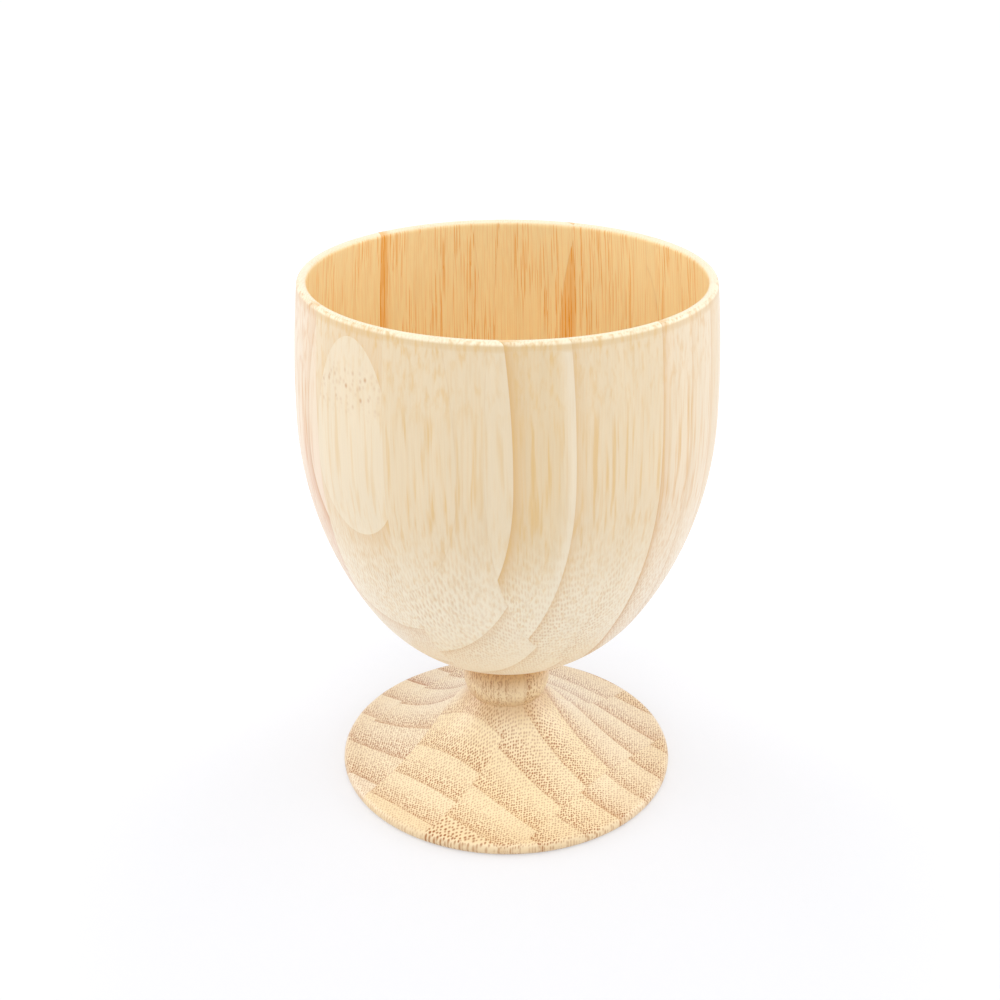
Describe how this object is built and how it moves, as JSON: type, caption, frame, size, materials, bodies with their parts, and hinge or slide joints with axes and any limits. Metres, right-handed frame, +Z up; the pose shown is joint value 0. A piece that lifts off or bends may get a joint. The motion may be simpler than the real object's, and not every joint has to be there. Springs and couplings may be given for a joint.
{
  "type": "footed cup",
  "caption": "Small goblet-shaped bamboo cup: a deep rounded bowl on a short collar and a round flared foot, turned from glued upright bamboo strips.",
  "frame": {"origin": "centre of the foot's flat underside, on the surface that the cup stands on", "axes": "+Z up along the turning axis; +X across the columns of bamboo strips, +Y along the piles of strips, from each strip's dense side to its soft side"},
  "size_m": [0.0764, 0.0764, 0.1018],
  "materials": {
    "bamboo": "turned and sanded smooth, with a thin clear satin lacquer"
  },
  "bodies": {
    "root": {"strip_a04": "bamboo", "strip_a05": "bamboo", "strip_a06": "bamboo", "strip_a07": "bamboo", "strip_a08": "bamboo", "strip_a09": "bamboo", "strip_a10": "bamboo", "strip_b02": "bamboo", "strip_b03": "bamboo", "strip_b04": "bamboo", "strip_b05": "bamboo", "strip_b06": "bamboo", "strip_b07": "bamboo", "strip_b08": "bamboo", "strip_b09": "bamboo", "strip_b10": "bamboo", "strip_b11": "bamboo", "strip_b12": "bamboo", "strip_c01": "bamboo", "strip_c02": "bamboo", "strip_c03": "bamboo", "strip_c04": "bamboo", "strip_c05": "bamboo", "strip_c06": "bamboo", "strip_c07": "bamboo", "strip_c08": "bamboo", "strip_c09": "bamboo", "strip_c10": "bamboo", "strip_c11": "bamboo", "strip_c12": "bamboo", "strip_d02": "bamboo", "strip_d03": "bamboo", "strip_d04": "bamboo", "strip_d05": "bamboo", "strip_d06": "bamboo", "strip_d07": "bamboo", "strip_d08": "bamboo", "strip_d09": "bamboo", "strip_d10": "bamboo", "strip_d11": "bamboo", "strip_d12": "bamboo", "strip_e03": "bamboo", "strip_e04": "bamboo", "strip_e05": "bamboo", "strip_e06": "bamboo", "strip_e07": "bamboo", "strip_e08": "bamboo", "strip_e09": "bamboo", "strip_e10": "bamboo", "strip_e11": "bamboo"}
  },
  "joints": []
}
